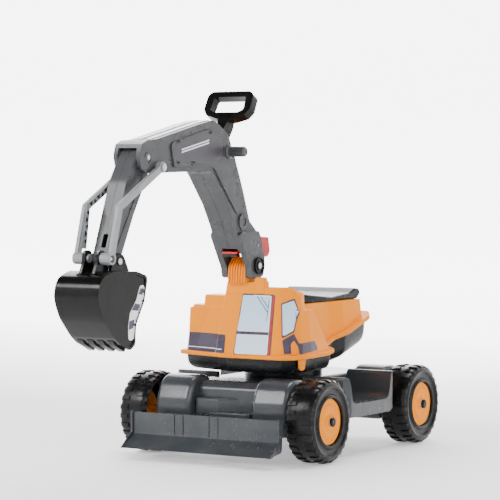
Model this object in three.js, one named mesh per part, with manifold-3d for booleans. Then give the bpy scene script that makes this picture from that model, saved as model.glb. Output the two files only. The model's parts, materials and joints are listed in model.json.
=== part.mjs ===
// Ride-on toy excavator, in millimetres: +Z up, -Y forward, +X the operator's left.
// Every outline is drawn from a point on the floor midway between the two axles. The whole model is then moved
// along Y, so that the origin is on the floor under the middle of its length.
// Hinges run along X, and the slew along Z.
// Side outlines are [y, z, corner radius] lists, and plan outlines are [x, y, corner radius] lists.
import * as THREE from 'three';
import { mergeVertices } from 'three/addons/utils/BufferGeometryUtils.js';
import Module from 'manifold-3d';

const wasm = await Module();
wasm.setup();

// ---- driving dimensions ----
const midLength = 227.7;     // from the middle of the length to the slew axis
const gap = 0.3;             // between faces that touch
const play = 0.3;            // round a pin, on the radius
const wall = 4;              // of the moulded shells
const wheel = { radius: 82, width: 62, halfTrack: 191.3, halfBase: 197 };
const axleRadius = 5;
const axleEnd = 226;
const blade = { half: 170, pivot: [-262, 72], armX: 42 };
const deck = { half: 100, top: 150 };
const pod = { inner: 70, outer: 152 };
const step = { inner: 100.3, outer: 205 };
const trayFloor = 168;
const slewRadius = 80;
const mastPin = [-161, 379];
const mastHalf = 20;
const stickPin = [-542, 591];
const linkPin = [-512, 573];
const elbowPin = [-268, 604];
const bucketPin = [-636, 403];
const earPin = [-677, 409];
const latchPin = [-158, 420];
const rodArm = 16;           // from the elbow pin, and from the stick pin, to the push rod's pins
const boomHalf = 29;
const forkHalf = 35;
const forkGap = 21.5;
const stickHalf = 19;
const bucketHalf = 46;

// ---- materials ----
const material = (color, roughness, metalness = 0) =>
  new THREE.MeshStandardMaterial({ color, roughness, metalness });
const yellow = material(0xf2a71b, 0.35);
const slate = material(0x4a5058, 0.35);
const darkGrey = material(0x3c4046, 0.45);
const boomGrey = material(0x6a6c6e, 0.4);
const linkGrey = material(0xa9abad, 0.4);
const black = material(0x161617, 0.3);
const tyreBlack = material(0x1c1c1d, 0.55);
const red = material(0xd8222a, 0.35);
const steel = material(0xb8bcc0, 0.3, 1);

// ---- solids ----
// One closed mesh with shared corners, faces pointing out.
function closed(geometry) {
  const bare = geometry.clone();
  bare.deleteAttribute('normal');
  bare.deleteAttribute('uv');
  const merged = mergeVertices(bare, 1e-4);
  const place = merged.attributes.position;
  const corner = [new THREE.Vector3(), new THREE.Vector3(), new THREE.Vector3()];
  const faces = [];
  let volume = 0;
  for (let i = 0; i < merged.index.count; i += 3) {
    const face = [0, 1, 2].map((k) => merged.index.getX(i + k));
    if (new Set(face).size < 3) continue;
    face.forEach((vertex, k) => corner[k].fromBufferAttribute(place, vertex));
    volume += corner[0].dot(corner[1].clone().cross(corner[2]));
    faces.push(face);
  }
  if (volume < 0) faces.forEach((face) => face.reverse());
  merged.setIndex(faces.flat());
  return merged;
}

function solid(geometry) {
  const mesh = closed(geometry);
  return new wasm.Manifold(new wasm.Mesh({
    numProp: 3,
    vertProperties: new Float32Array(mesh.attributes.position.array),
    triVerts: new Uint32Array(mesh.index.array),
  }));
}

function geometryOf(shape) {
  const mesh = shape.getMesh();
  const geometry = new THREE.BufferGeometry();
  geometry.setAttribute('position', new THREE.Float32BufferAttribute(mesh.vertProperties, 3));
  geometry.setIndex(Array.from(mesh.triVerts));
  return geometry;
}

const join = (...shapes) => shapes.reduce((whole, shape) => whole.add(shape));
const cut = (shape, ...tools) => tools.reduce((whole, tool) => whole.subtract(tool), shape);

// ---- outlines ----
const unit = (from, to) => {
  const length = Math.hypot(to[0] - from[0], to[1] - from[1]);
  return [(to[0] - from[0]) / length, (to[1] - from[1]) / length];
};

// Moves every edge of an outline inwards by one distance.
function inset(points, distance) {
  const side = Math.sign(THREE.ShapeUtils.area(points.map(([x, y]) => new THREE.Vector2(x, y))));
  return points.map((point, i) => {
    const before = unit(points.at(i - 1), point);
    const after = unit(point, points[(i + 1) % points.length]);
    const dot = before[0] * after[0] + before[1] * after[1];
    const turn = (before[0] * after[1] - before[1] * after[0]) * side;
    const shift = side * distance / (1 + dot);
    const radius = point[2] ?? 0;
    return [
      point[0] - (before[1] + after[1]) * shift,
      point[1] + (before[0] + after[0]) * shift,
      turn > 0 ? Math.max(radius - distance, 0) : radius + distance,
    ];
  });
}

// Turns each corner that has a radius into a short curve.
function rounded(points, steps = 2) {
  return points.flatMap((point, i) => {
    const [x, y, radius = 0] = point;
    if (radius === 0) return [new THREE.Vector2(x, y)];
    const last = points.at(i - 1);
    const next = points[(i + 1) % points.length];
    const back = unit(point, last);
    const ahead = unit(point, next);
    const half = Math.acos(THREE.MathUtils.clamp(back[0] * ahead[0] + back[1] * ahead[1], -1, 1)) / 2;
    const room = 0.48 * Math.min(Math.hypot(last[0] - x, last[1] - y), Math.hypot(next[0] - x, next[1] - y));
    const reach = Math.min(radius / Math.tan(half), room);
    const curve = new THREE.QuadraticBezierCurve(
      new THREE.Vector2(x + back[0] * reach, y + back[1] * reach),
      new THREE.Vector2(x, y),
      new THREE.Vector2(x + ahead[0] * reach, y + ahead[1] * reach),
    );
    return curve.getPoints(steps);
  });
}

const axisX = new THREE.Vector3(1, 0, 0);
const axisY = new THREE.Vector3(0, 1, 0);
const axisZ = new THREE.Vector3(0, 0, 1);

const extrusion = (points, depth, steps) =>
  new THREE.ExtrudeGeometry(new THREE.Shape(rounded(points, steps)), { depth, bevelEnabled: false });

// A side outline carried from x0 to x1.
function alongX(points, x0, x1, steps) {
  const geometry = extrusion(points, x1 - x0, steps);
  geometry.applyMatrix4(new THREE.Matrix4().makeBasis(axisY, axisZ, axisX));
  return solid(geometry.translate(x0, 0, 0));
}

// A front outline, of [x, z] corners, carried from y0 to y1.
function alongY(points, y0, y1, steps) {
  const geometry = extrusion(points, y1 - y0, steps);
  geometry.applyMatrix4(new THREE.Matrix4().makeBasis(axisX, axisZ, axisY.clone().negate()));
  return solid(geometry.translate(0, y1, 0));
}

// A plan outline carried from z0 to z1, its top scaled by [x, y] about a centre.
function alongZ(points, z0, z1, scale = [1, 1], centre = [0, 0], steps = 2) {
  const geometry = extrusion(points, z1 - z0, steps);
  const place = geometry.attributes.position;
  for (let i = 0; i < place.count; i += 1) {
    const [sx, sy] = place.getZ(i) > 0 ? scale : [1, 1];
    place.setX(i, centre[0] + (place.getX(i) - centre[0]) * sx);
    place.setY(i, centre[1] + (place.getY(i) - centre[1]) * sy);
  }
  return solid(geometry.translate(0, 0, z0));
}

const box = (x0, x1, y0, y1, z0, z1) =>
  solid(new THREE.BoxGeometry(x1 - x0, y1 - y0, z1 - z0)
    .translate((x0 + x1) / 2, (y0 + y1) / 2, (z0 + z1) / 2));

// A round bar along X through a side point.
const barX = ([y, z], radius, x0, x1, sides = 12) =>
  solid(new THREE.CylinderGeometry(radius, radius, x1 - x0, sides)
    .rotateZ(-Math.PI / 2).translate((x0 + x1) / 2, y, z));

const barZ = (x, y, radius, z0, z1, sides = 16) =>
  solid(new THREE.CylinderGeometry(radius, radius, z1 - z0, sides)
    .rotateX(Math.PI / 2).translate(x, y, (z0 + z1) / 2));

// A turned shape about X: the profile is [x, radius] pairs.
const turned = (profile, sides) =>
  new THREE.LatheGeometry(profile.map(([x, r]) => new THREE.Vector2(r, x)), sides).rotateZ(-Math.PI / 2);

const mirrorX = (shape) => shape.mirror([1, 0, 0]);
const bothSides = (shape) => join(shape, mirrorX(shape));

// A bar with round ends between two side points.
function strap([ya, za], [yb, zb], width, x0, x1) {
  const length = Math.hypot(yb - ya, zb - za);
  const [uy, uz] = unit([ya, za], [yb, zb]);
  const corner = (along, across) => [ya + uy * along - uz * across, za + uz * along + uy * across];
  const half = width / 2;
  const plate = alongX([corner(0, half), corner(0, -half), corner(length, -half), corner(length, half)], x0, x1);
  return join(plate, barX([ya, za], half, x0, x1), barX([yb, zb], half, x0, x1));
}

// ---- the model ----
const model = new THREE.Group();

function piece(name, shape, look, parent = model) {
  const geometry = shape.isBufferGeometry ? closed(shape) : geometryOf(shape);
  const mesh = new THREE.Mesh(geometry, look);
  mesh.name = name;
  parent.add(mesh);
  return mesh;
}

// ---- chassis ----
const frontPodSide = [
  [-252, 48, 8], [-252, 112, 26], [-230, 160, 36], [-166, 160, 36], [-138, 112, 26], [-138, 48, 8],
];
const deckSide = [[-214, 78, 8], [-214, 138, 8], [-196, 150, 12], [196, 150, 12], [214, 138, 8], [214, 78, 8]];
const mirrorY = (points) => points.map(([y, z, r]) => [-y, z, r]).reverse();

function chassisForm(shrink) {
  const deckPart = alongX(inset(deckSide, shrink), -deck.half + shrink, deck.half - shrink, 1);
  const pods = [frontPodSide, mirrorY(frontPodSide)].map((side) =>
    bothSides(alongX(inset(side, shrink), pod.inner + shrink, pod.outer - shrink, shrink > 0 ? 1 : 2)));
  return join(deckPart, ...pods);
}

function chassisShell() {
  const inner = chassisForm(wall);
  const hollow = join(inner, inner.translate([0, 0, -2 * wall]));
  let shell = cut(chassisForm(0), hollow);
  const frontBlock = alongZ([[-72, -236, 4], [-14, -236, 8], [30, -210, 6], [30, -200], [-72, -200]], 78.1, 119);
  const lowShelf = box(-30, 66, -250, -204, 82, 94);
  const ribs = bothSides(box(76, 146, -254, -249, 92, 95));
  const lugs = [-1, 1].flatMap((side) => [-1, 1].map((flank) => {
    const x = side * blade.armX + flank * 7.3;
    return alongX([[-272, 62, 8], [-272, 82, 8], [-210, 92], [-210, 79]], x - 3, x + 3);
  }));
  shell = join(shell, frontBlock, lowShelf, ribs, ...lugs);
  return cut(
    shell,
    barX([-wheel.halfBase, wheel.radius], axleRadius + play, -160, 160),
    barX([wheel.halfBase, wheel.radius], axleRadius + play, -160, 160),
    barX(blade.pivot, 3 + play, -60, 60),
    barZ(0, 0, 6 + play, 130, 160),
  );
}

function footrest() {
  const side = [
    [-82, 76, 8], [-100, 92, 8], [-98, 158, 6], [-88, 158, 5], [-78, 104, 8], [76, 104, 8],
    [88, 158, 6], [104, 158, 12], [112, 118, 14], [100, 84, 12], [74, 78, 8],
  ];
  const under = alongX([[-78, 70], [-92, 92], [-72, 99, 4], [80, 99, 4], [92, 90, 6], [78, 70]],
    step.inner + wall, step.outer - wall);
  const plan = alongZ([
    [step.inner, -110], [182, -110, 10], [step.outer, -84, 18], [step.outer, 92, 18], [182, 120, 10],
    [step.inner, 120],
  ], 60, 170);
  const treadRibs = [-58, -33, -8, 17, 42].map((y) => box(112, 196, y, y + 8, 103, 105.5));
  return join(cut(alongX(side, step.inner, step.outer), under).intersect(plan), ...treadRibs);
}

piece('chassis_shell', chassisShell(), slate);
const leftFootrest = footrest();
piece('left_footrest', leftFootrest, slate);
piece('right_footrest', mirrorX(leftFootrest), slate);
for (const [end, sign] of [['front', -1], ['rear', 1]]) {
  const axle = barX([sign * wheel.halfBase, wheel.radius], axleRadius, -axleEnd, axleEnd);
  piece(`${end}_axle`, axle, steel);
}
piece('slew_ring', cut(
  join(barZ(0, 0, slewRadius, deck.top + gap, trayFloor - gap, 32)),
  barZ(0, 0, slewRadius - 14, deck.top - 1, trayFloor + 1, 32),
), black);
piece('kingpin', join(
  barZ(0, 0, 6, 124, trayFloor + wall + gap),
  barZ(0, 0, 11, trayFloor + wall + gap, trayFloor + wall + 7, 6),
), steel);
piece('kingpin_nut', cut(barZ(0, 0, 10, 128, deck.top - wall - gap, 6), barZ(0, 0, 6 + play, 120, 160)), steel);
piece('kingpin_bush', cut(
  barZ(0, 0, 14, deck.top + gap, trayFloor - gap),
  barZ(0, 0, 6 + play, 140, 180),
), black);

// ---- dozer blade ----
const bladeFace = -306;      // y of the plate's front
const bladeTop = 91;
const bladeFoot = [-344, 23];

function dozerBlade() {
  const plate = alongX([
    [bladeFace, bladeTop], [bladeFace, 48, 10], bladeFoot, [bladeFoot[0] + 6, bladeFoot[1] - 1],
    [bladeFace + 8, 42, 10], [bladeFace + 6, bladeTop],
  ], -blade.half, blade.half);
  const ribs = [-72, -52, 8, 28].map((x) =>
    alongX([[bladeFace + 1, bladeTop], [bladeFace - 2, bladeTop - 2], [bladeFace - 2, 52], [bladeFace + 1, 46]], x, x + 3));
  const cheeks = bothSides(alongX([
    [bladeFace - 4, bladeTop + 2, 2], [bladeFace - 4, 52, 10], [bladeFoot[0] - 3, bladeFoot[1]],
    [bladeFace + 6, 30, 6], [bladeFace + 12, bladeTop + 2, 2],
  ], blade.half - 4, blade.half));
  const arms = bothSides(alongX([
    [bladeFace + 5, 84, 3], [-258, 80, 6], [-250, 72, 6], [-258, 63, 6], [bladeFace + 5, 54, 3],
  ], blade.armX - 4, blade.armX + 4));
  const shelf = box(-blade.half + 3, blade.half - 3, bladeFace + 2, bladeFace + 14, 84, 88);
  return cut(join(plate, ...ribs, cheeks, arms, shelf), barX(blade.pivot, 3 + play, -60, 60));
}

piece('dozer_blade', dozerBlade(), slate);
for (const [side, sign] of [['left', 1], ['right', -1]]) {
  const pin = barX(blade.pivot, 3, blade.armX - 11.5, blade.armX + 11.5, 16);
  piece(`${side}_blade_pin`, sign > 0 ? pin : mirrorX(pin), steel);
}

// ---- wheels ----
const tyreProfile = [
  [30, 46], [25, 58], [25, 66], [31, 70], [28, 79], [18, 82], [-18, 82], [-28, 79], [-31, 70], [-26, 68],
  [-16, 78], [16, 78], [22, 70], [21, 58], [25, 46], [30, 46],
];
const hubProfile = [
  [29, 5.4], [29, 13], [27, 30], [25, 44], [20, 45.5], [19, 41], [22.5, 36], [23, 14], [-29, 11], [-29, 5.4],
  [29, 5.4],
];
const capProfile = [[30.9, 0], [35.2, 0], [36.4, 3], [36.4, 6], [34.5, 9.5], [30.9, 9.5], [30.9, 0]];

for (const [end, ySign] of [['front', -1], ['rear', 1]]) {
  for (const [side, xSign] of [['left', 1], ['right', -1]]) {
    const place = new THREE.Group();
    place.position.set(xSign * wheel.halfTrack, ySign * wheel.halfBase, wheel.radius);
    place.rotation.z = xSign > 0 ? 0 : Math.PI;
    model.add(place);
    const reach = axleEnd - wheel.halfTrack + gap;
    piece(`${end}_${side}_tyre`, turned(tyreProfile, 18), tyreBlack, place);
    piece(`${end}_${side}_hub`, turned(hubProfile, 16), yellow, place);
    piece(`${end}_${side}_washer`, cut(
      barX([0, 0], 10, 29.3, 30.6), barX([0, 0], axleRadius + play, 20, 40)), steel, place);
    const cap = cut(solid(turned(capProfile, 12)), barX([0, 0], axleRadius + play, 20, reach));
    piece(`${end}_${side}_cap_nut`, cap, black, place);
  }
}

// ---- upper body ----
const bodyPlan = [
  [112, -204, 14], [136, -184, 16], [141, -150, 20], [132, -22, 8], [100, -4, 12], [96, 46, 16], [109, 84, 20],
  [107, 178, 20], [90, 206, 16], [-90, 206, 16], [-107, 178, 20], [-111, 84, 20], [-98, 46, 16], [-102, -4, 12],
  [-140, -22, 8], [-157, -118, 20], [-157, -154, 14], [-26, -198, 6],
];
const hemLine = [[-230, 196], [-54, 196, 20], [-26, 200], [215, 266]];

// The band between two heights above the body's lower edge.
const hemBand = (low, high, half = 160) => alongX([
  ...hemLine.map(([y, z, r]) => [y, z + low, r]),
  ...hemLine.map(([y, z, r]) => [y, z + high, r]).reverse(),
], -half, half);

const cowlRear = -100;        // y where the hood and the cab end, in front of the seat
const hoodPlan = [[6, -190], [-26, -191, 4], [-146, -148, 12], [-148, -112, 16], [-142, cowlRear, 8], [6, cowlRear]];
const cabPlan = [[-14, -192, 4], [104, -198, 8], [132, -156, 8], [126, -124, 14], [90, cowlRear, 10], [-14, cowlRear]];
const saddlePlan = [[98, -104], [92, -4, 16], [88, 46, 20], [101, 84, 20], [100, 168, 16], [83, 194, 12], [-83, 194, 12],
  [-100, 168, 16], [-103, 84, 20], [-90, 46, 20], [-94, -4, 16], [-98, -104]];
const flankPlan = [[134, -158], [134, -120, 10], [124, -24, 8], [80, -12], [80, -158]];

function bodyForm(shrink) {
  const steps = shrink > 0 ? 1 : 2;
  const hood = alongZ(inset(hoodPlan, shrink), 190, 318 - shrink, [0.9, 0.76], [0, cowlRear], steps);
  const lowHood = hood.intersect(join(
    alongX([[-230, 190], [-230, 330], [205, 330], [205, 190]], -100 + shrink, 60),
    box(-160, 60, -230, 205, 190, 297 - shrink)));
  const cab = alongZ(inset(cabPlan, shrink), 190, 338 - shrink, [0.94, 0.8], [0, cowlRear], steps)
    .intersect(alongY([[-60, 150], [-60, 400], [108 - shrink, 345 - shrink], [131 - shrink, 302 - shrink],
      [141, 230], [141, 150]], -240, 0))
    .intersect(alongX(inset([[-250, 150], [-250, 338, 2], [-166, 338, 14], [-126, 324, 16], [-92, 296], [-92, 150]], shrink),
      -60, 160));
  const saddle = alongZ(inset(saddlePlan, shrink), 190, 299 - shrink, [0.9, 0.97], [0, 60], steps)
    .intersect(alongX(inset([[-240, 100], [-240, 299, 4], [168, 299, 14], [194, 266], [212, 100]], shrink), -150, 150));
  const flankSide = [[-160, 150], [-160, 292, 4], [-104, 292, 6], [-34, 214, 10], [-20, 150]];
  const flanks = bothSides(alongZ(inset(flankPlan, shrink), 190, 300, [0.96, 1], [0, 0], 1)
    .intersect(alongX(inset(flankSide, shrink), 60, 150)));
  const mastSide = inset([
    [-192, 316], [-186, 379, 20], [mastPin[0] - 2, 402, 24], [-136, 379, 20], [-126, 316],
  ], shrink);
  const mast = alongX(mastSide, -mastHalf + shrink, mastHalf - shrink, 4);
  const mastFoot = alongX(inset([[-199, 100], [-199, 196], [-187.5, 350, 5], [-124, 350, 10], [-104, 100]], shrink), -80, 60)
    .intersect(alongY(inset([[-54, 100], [-51, 196], [-34, 318], [-27, 380], [mastHalf + 4, 380], [mastHalf + 4, 100]],
      shrink), -240, 0));
  const shoulder = alongX(inset([[-194, 300], [-185, 357, 4], [-172, 357, 4], [-164, 300]], shrink),
    mastHalf, 61 - shrink);
  return join(lowHood, cab, saddle, flanks, mast, mastFoot, shoulder);
}

function bodyShell() {
  const above = hemBand(0, 300);
  const inner = bodyForm(wall);
  const outer = join(bodyForm(0), alongZ(bodyPlan, 190, 280)
    .intersect(hemBand(0, 9)));
  const roof = cut(outer.intersect(above), inner);
  const opened = cut(roof, alongZ(inset(bodyPlan, 11), 185, 300).intersect(hemBand(-5, wall + 8)).intersect(inner
    .translate([0, 0, -12])));
  // Five shallow grooves run round the mast's top, beside each other.
  const grooves = [-15, -9, -3, 3, 9, 15].map((x) => join(
    cut(barX(mastPin, 40, x - 1.3, x + 1.3, 8), barX(mastPin, 22, x - 2, x + 2, 12), box(x - 2, x + 2, -200, -100, 330, 379)),
    alongX([[-200, 353], [-200, 380], [-183, 380], [-185.4, 353]], x - 1.3, x + 1.3)));
  const forkRoom = bothSides(alongX([
    [mastPin[0] - 34, 348], [mastPin[0] - 34, 420], [mastPin[0] + 60, 420], [mastPin[0] + 60, 348],
  ], forkGap - 1.2, forkHalf + 1));
  return cut(opened, ...grooves, forkRoom, barX(mastPin, 6 + play, -60, 60));
}

function baseTray() {
  const outline = (drop) => alongX([
    [-215, trayFloor + drop], [20, trayFloor + drop, 40], [212, 218 + drop], [216, 320],
    [-215, 320],
  ], -160, 160);
  const plan = (shrink) => alongZ(inset(bodyPlan, 10 + shrink), 150, 300);
  const outer = plan(0).intersect(outline(0)).intersect(hemBand(-120, -gap));
  const cabPart = alongZ([[-12, -192, 8], [106, -196, 16], [128, -176, 14], [130, -140, 20], [60, -110, 10],
    [-12, -110, 8]], 163, 180);
  const inner = plan(wall).intersect(outline(wall));
  const stopBlock = box(16, 38, -128, -84, 151, 166);
  const seat = cut(outer, inner);
  return cut(join(seat, cut(cabPart, box(-8, 100, -180, -120, 167, 190)), stopBlock), barZ(0, 0, 6 + play, 150, 180));
}

function seatPad() {
  const side = [
    [-84, 299.4], [-88, 310, 8], [-50, 318, 30], [60, 308, 60], [136, 313, 30], [160, 322, 14], [178, 321, 8],
    [182, 310, 6], [168, 299.4],
  ];
  const plan = alongZ([
    [60, -90, 26], [84, -30, 40], [78, 60, 40], [86, 110, 30], [80, 183, 22], [-80, 183, 22], [-86, 110, 30],
    [-78, 60, 40], [-84, -30, 40], [-60, -90, 26],
  ], 299 + gap, 380);
  return alongX(side, -90, 90, 3).intersect(plan);
}

piece('base_tray', baseTray(), darkGrey);
piece('body_shell', bodyShell(), yellow);
piece('seat', seatPad(), darkGrey);
piece('clip_tab', alongX([[-172, 195.7], [-170, 178, 6], [-162, 174, 6], [-150, 176, 6], [-145, 195.7]],
  131.6, 135.6), yellow);
piece('boom_pin', barX(mastPin, 6, -40, 40), steel);
for (const [side, sign] of [['left', 1], ['right', -1]]) {
  const cap = cut(
    barX(mastPin, 17.5, forkHalf + gap, forkHalf + 5, 20), barX(mastPin, 6 + play, 30, 44),
    cut(barX(mastPin, 15, forkHalf + 3, forkHalf + 8), barX(mastPin, 9, 30, 50)));
  piece(`${side}_boom_pin_cap`, sign > 0 ? cap : mirrorX(cap), black);
}

// ---- boom ----
const boomSide = [
  [-573, 621, 29], [-520, 624, 60], [-367, 656, 80], [-318, 664, 16], [-294, 654, 12], [-264, 636, 20],
  [-238, 590, 30], [-209, 529, 60], [-184, 468, 12], [-158, 448, 6], [-150, 436, 10], [-136, 396, 10],
  [-136, 354, 24], [-186, 354, 24], [-188, 374, 10], [-228, 438, 6], [-240, 461, 20], [-266, 501, 30], [-324, 566, 18],
  [-400, 565], [-496, 563], [-573, 561, 29],
];
const forkSide = [
  [-158, 448, 6], [-150, 436, 10], [-136, 396, 10], [-136, 354, 24], [-186, 354, 24], [-188, 374, 10], [-229, 440, 6],
  [-222, 448, 4],
];
const coverSide = [
  [-472, 618, 8], [-330, 648, 20], [-272, 626, 18], [-250, 588, 20], [-222, 528, 20], [-206, 484, 8], [-236, 484, 8],
  [-268, 516, 20], [-322, 574, 24], [-462, 573, 8],
];

function boomShell() {
  const main = alongX(boomSide, gap / 2, boomHalf, 2);
  const fork = alongX(forkSide, gap / 2, forkHalf, 2);
  const boss = barX([-211, 467], 17, boomHalf - 1, boomHalf + 3.5);
  const hollow = alongX(inset(boomSide, wall), -1, boomHalf - wall, 1);
  return cut(
    join(main, fork, boss),
    hollow,
    box(-1, forkGap, -260, -120, 330, 409),                      // fork gap
    box(-1, 12, -165, -120, 402, 433),                           // way out for the latch
    box(-1, 17.6, -240, -196, 400, 413.5),                       // and room above its plate
    box(-1, stickHalf + 1.3, -620, -504, 530, 608),              // stick opening
    barX(stickPin, 26, -1, stickHalf + 1.3, 20),                 // and the room its head turns in
    box(-1, 13.5, -306, -206, 600, 690),                         // lever slot
    barX([-211, 467], 9, boomHalf + 1.5, boomHalf + 8),
    barX(mastPin, 6 + play, 0, 50),
    barX(stickPin, 5 + play, 0, 50),
    barX(elbowPin, 5 + play, 0, 50),
    barX(linkPin, 4 + play, 0, 50),
    barX(latchPin, 3 + play, 0, 50),
  );
}

function sideCover(hole) {
  const plate = alongX(coverSide, boomHalf + gap, boomHalf + 3, 2);
  const slots = [[-448, 621], [-335, 640], [-450, 582], [-396, 583]].map(([y, z]) =>
    box(boomHalf, boomHalf + 5, y - 6, y + 6, z - 2, z + 2));
  return cut(plate, ...slots, barX(elbowPin, hole, boomHalf, boomHalf + 5));
}

const leftBoom = boomShell();
piece('boom_left_half', leftBoom, boomGrey);
piece('boom_right_half', mirrorX(leftBoom), boomGrey);
piece('left_side_cover', sideCover(15), boomGrey);
piece('right_side_cover', mirrorX(sideCover(6)), boomGrey);

const gripEnd = 71;
const gripProfile = [
  [boomHalf + gap, 0], [gripEnd - 3, 0], [gripEnd, 7], [gripEnd - 3, 10], [37, 10], [34, 14], [boomHalf + gap, 14],
  [boomHalf + gap, 0],
];
piece('side_grip', cut(
  solid(turned(gripProfile, 16)).translate([0, ...elbowPin]), barX(elbowPin, 5 + play, 20, 46)), boomGrey);
piece('elbow_pin', barX(elbowPin, 5, -boomHalf - 4, 44), steel);
piece('stick_pin', barX(stickPin, 5, -boomHalf + 0.5, boomHalf - 0.5), steel);
const leftLinkBolt = join(barX(linkPin, 4, 22, 41), barX(linkPin, 7, 41, 44));
piece('left_link_bolt', leftLinkBolt, steel);
piece('right_link_bolt', mirrorX(leftLinkBolt), steel);

// ---- latch ----
function redLatch() {
  const plate = alongX([[-214, 403.5], [-214, 407.5, 2], [-198, 408.3], [-170, 424, 6], [-157, 424], [-156, 414], [-172, 404]],
    -17, 17);
  const hub = barX(latchPin, 7.5, -11, 11);
  const neck = alongX([[-160, 414], [-162, 426], [-118, 426], [-118, 412]], -10, 10);
  const cup = alongX([[-131, 404, 10], [-129, 436, 3], [-87, 434, 3], [-80, 402, 12], [-94, 393, 10]], -15, 15);
  const pocket = alongX([[-126, 411, 5], [-125, 440], [-90, 440], [-88, 408, 5]], -12, 12);
  return cut(join(plate, hub, neck, cut(cup, pocket)), barX(latchPin, 3 + play, -40, 40));
}
piece('latch', redLatch(), red);
piece('latch_pin', barX(latchPin, 3, -forkHalf + 1, forkHalf - 1, 16), steel);
piece('latch_spring', cut(barX(latchPin, 6.5, 17.6, 21), barX(latchPin, 3.6, 10, 30)), steel);

// ---- D-handle lever ----
const handleFoot = [-221, 672];
const handleLean = THREE.MathUtils.degToRad(29);
const handleDepth = 20;

function dHandle() {
  const outer = [[-18, -8, 4], [-44, 0, 8], [-53, 14, 8], [-52, 46, 10], [-43, 53.5, 6], [43, 53.5, 6], [52, 46, 10],
    [53, 14, 8], [44, 0, 8], [18, -8, 4]];
  const eye = [[-38, 13, 6], [-36, 41, 4], [36, 41, 4], [38, 13, 6], [27, 6, 6], [-27, 6, 6]];
  const stand = new THREE.Matrix4().makeBasis(axisX, axisZ, axisY.clone().negate());
  const lean = new THREE.Matrix4().makeRotationX(-handleLean);
  const place = (points, depth) => {
    const geometry = extrusion(points, depth).translate(0, 0, -depth / 2);
    geometry.applyMatrix4(stand).applyMatrix4(lean);
    return solid(geometry.translate(0, ...handleFoot));
  };
  const ring = cut(place(outer, handleDepth), place(eye, handleDepth + 4));
  const stem = alongX([
    [-281, 608, 12], [-273, 591, 10], [-261, 592, 8], [-216, 650, 20], [-208, 676, 6], [-232, 682, 6], [-242, 660, 20],
    [-278, 626, 8],
  ], -11, 11);
  const rodEnd = [elbowPin[0], elbowPin[1] + rodArm];
  return cut(
    join(ring, stem),
    barX(elbowPin, 5 + play, -20, 20),
    barX(rodEnd, 2.5 + play, -20, 20),
    box(-3.8, 3.8, -300, -255, 611, 632),
  );
}

function pushRod() {
  const back = [elbowPin[0], elbowPin[1] + rodArm];
  const front = [stickPin[0], stickPin[1] + rodArm];
  const bar = strap(back, front, 7, -3, 3);
  const ends = [back, front].map((end) => barX(end, 5.5, -3, 3));
  return cut(join(bar, ...ends), barX(back, 2.5 + play, -5, 5), barX(front, 2.5 + play, -5, 5));
}

piece('d_handle_lever', dHandle(), black);
piece('push_rod', pushRod(), steel);
piece('rear_rod_pin', barX([elbowPin[0], elbowPin[1] + rodArm], 2.5, -10.6, 10.6, 16), steel);
piece('front_rod_pin', barX([stickPin[0], stickPin[1] + rodArm], 2.5, -18.6, 18.6, 16), steel);

// ---- stick ----
const stickSide = [
  [-557, 611, 26], [-517, 615, 22], [-519, 580, 14], [-552, 526, 40], [-578, 486, 60], [-620, 408, 20], [-622, 388, 12],
  [-650, 388, 14], [-655, 410, 20], [-602, 546, 60], [-572, 590, 10],
];

function stickShell() {
  const pocket = alongX([[-566, 560, 8], [-546, 558, 8], [-634, 424, 8], [-643, 434, 8]], stickHalf - 1.5, stickHalf + 3);
  return cut(
    alongX(stickSide, gap / 2, stickHalf, 2),
    alongX(inset(stickSide, 3.5), -1, stickHalf - 3.5, 1),
    pocket,
    box(-1, 4.2, -549, -500, 586, 630),                          // push rod's way in
    box(-1, 5, -655, -630, 428, 452),                            // slot at the lower front
    barX(stickPin, 5 + play, 0, 30),
    barX([stickPin[0], stickPin[1] + rodArm], 2.5 + play, 0, 30),
    barX(bucketPin, 4 + play, 0, 30),
  );
}

const leftStick = stickShell();
piece('stick_left_half', leftStick, boomGrey);
piece('stick_right_half', mirrorX(leftStick), boomGrey);

// ---- bucket ----
const bucketSide = [
  [-574, 375, 10], [-612, 385, 20], [-684, 387, 20], [-722, 376, 26], [-737, 343, 40], [-716, 302, 60], [-682, 268, 20],
  [-665, 256, 3], [-632, 243, 6], [-616, 252, 8], [-613, 288, 20], [-586, 330, 24],
];
const bucketInside = [
  [-540, 371], [-612, 381, 16], [-684, 383, 16], [-719, 373, 22], [-733, 343, 36], [-712, 304, 56], [-679, 271, 16],
  [-656, 256], [-600, 200], [-540, 200],
];

function bucketShell() {
  const tooth = (x) => alongX([[-676, 263], [-664, 263, 3], [-634, 245, 2], [-638, 240, 2], [-668, 254]], x - 6, x + 6);
  const shell = cut(alongX(bucketSide, -bucketHalf, bucketHalf, 2),
    alongX(bucketInside, -bucketHalf + 4, bucketHalf - 4, 1));
  const rim = bothSides(cut(
    alongX(bucketSide, bucketHalf - 0.5, bucketHalf + 2, 2),
    alongX(inset(bucketSide, 6), bucketHalf - 1, bucketHalf + 3, 2)));
  const ears = bothSides(alongX(
    [[-700, 383], [-690, 404], [-688, 424, 10], [-666, 424, 10], [-666, 404], [-654, 384]], 11.5, 17.5, 2));
  const lugs = bothSides(alongX(
    [[-664, 384], [-652, 412, 8], [-640, 419, 10], [-622, 414, 10], [-604, 383]], 21.2, 27, 2));
  return cut(
    join(shell, rim, ears, lugs, ...[-33, -11, 11, 33].map(tooth)),
    barX(bucketPin, 4 + play, -40, 40),
    barX(earPin, 3 + play, -40, 40),
  );
}

piece('bucket', bucketShell(), black);
piece('bucket_pin', join(barX(bucketPin, 4, -27.5, 27.3), barX(bucketPin, 6, 27.3, 29.5)), steel);

// ---- links ----
const linkKnee = [-650, 501];
const linkInner = 33.5;

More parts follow.
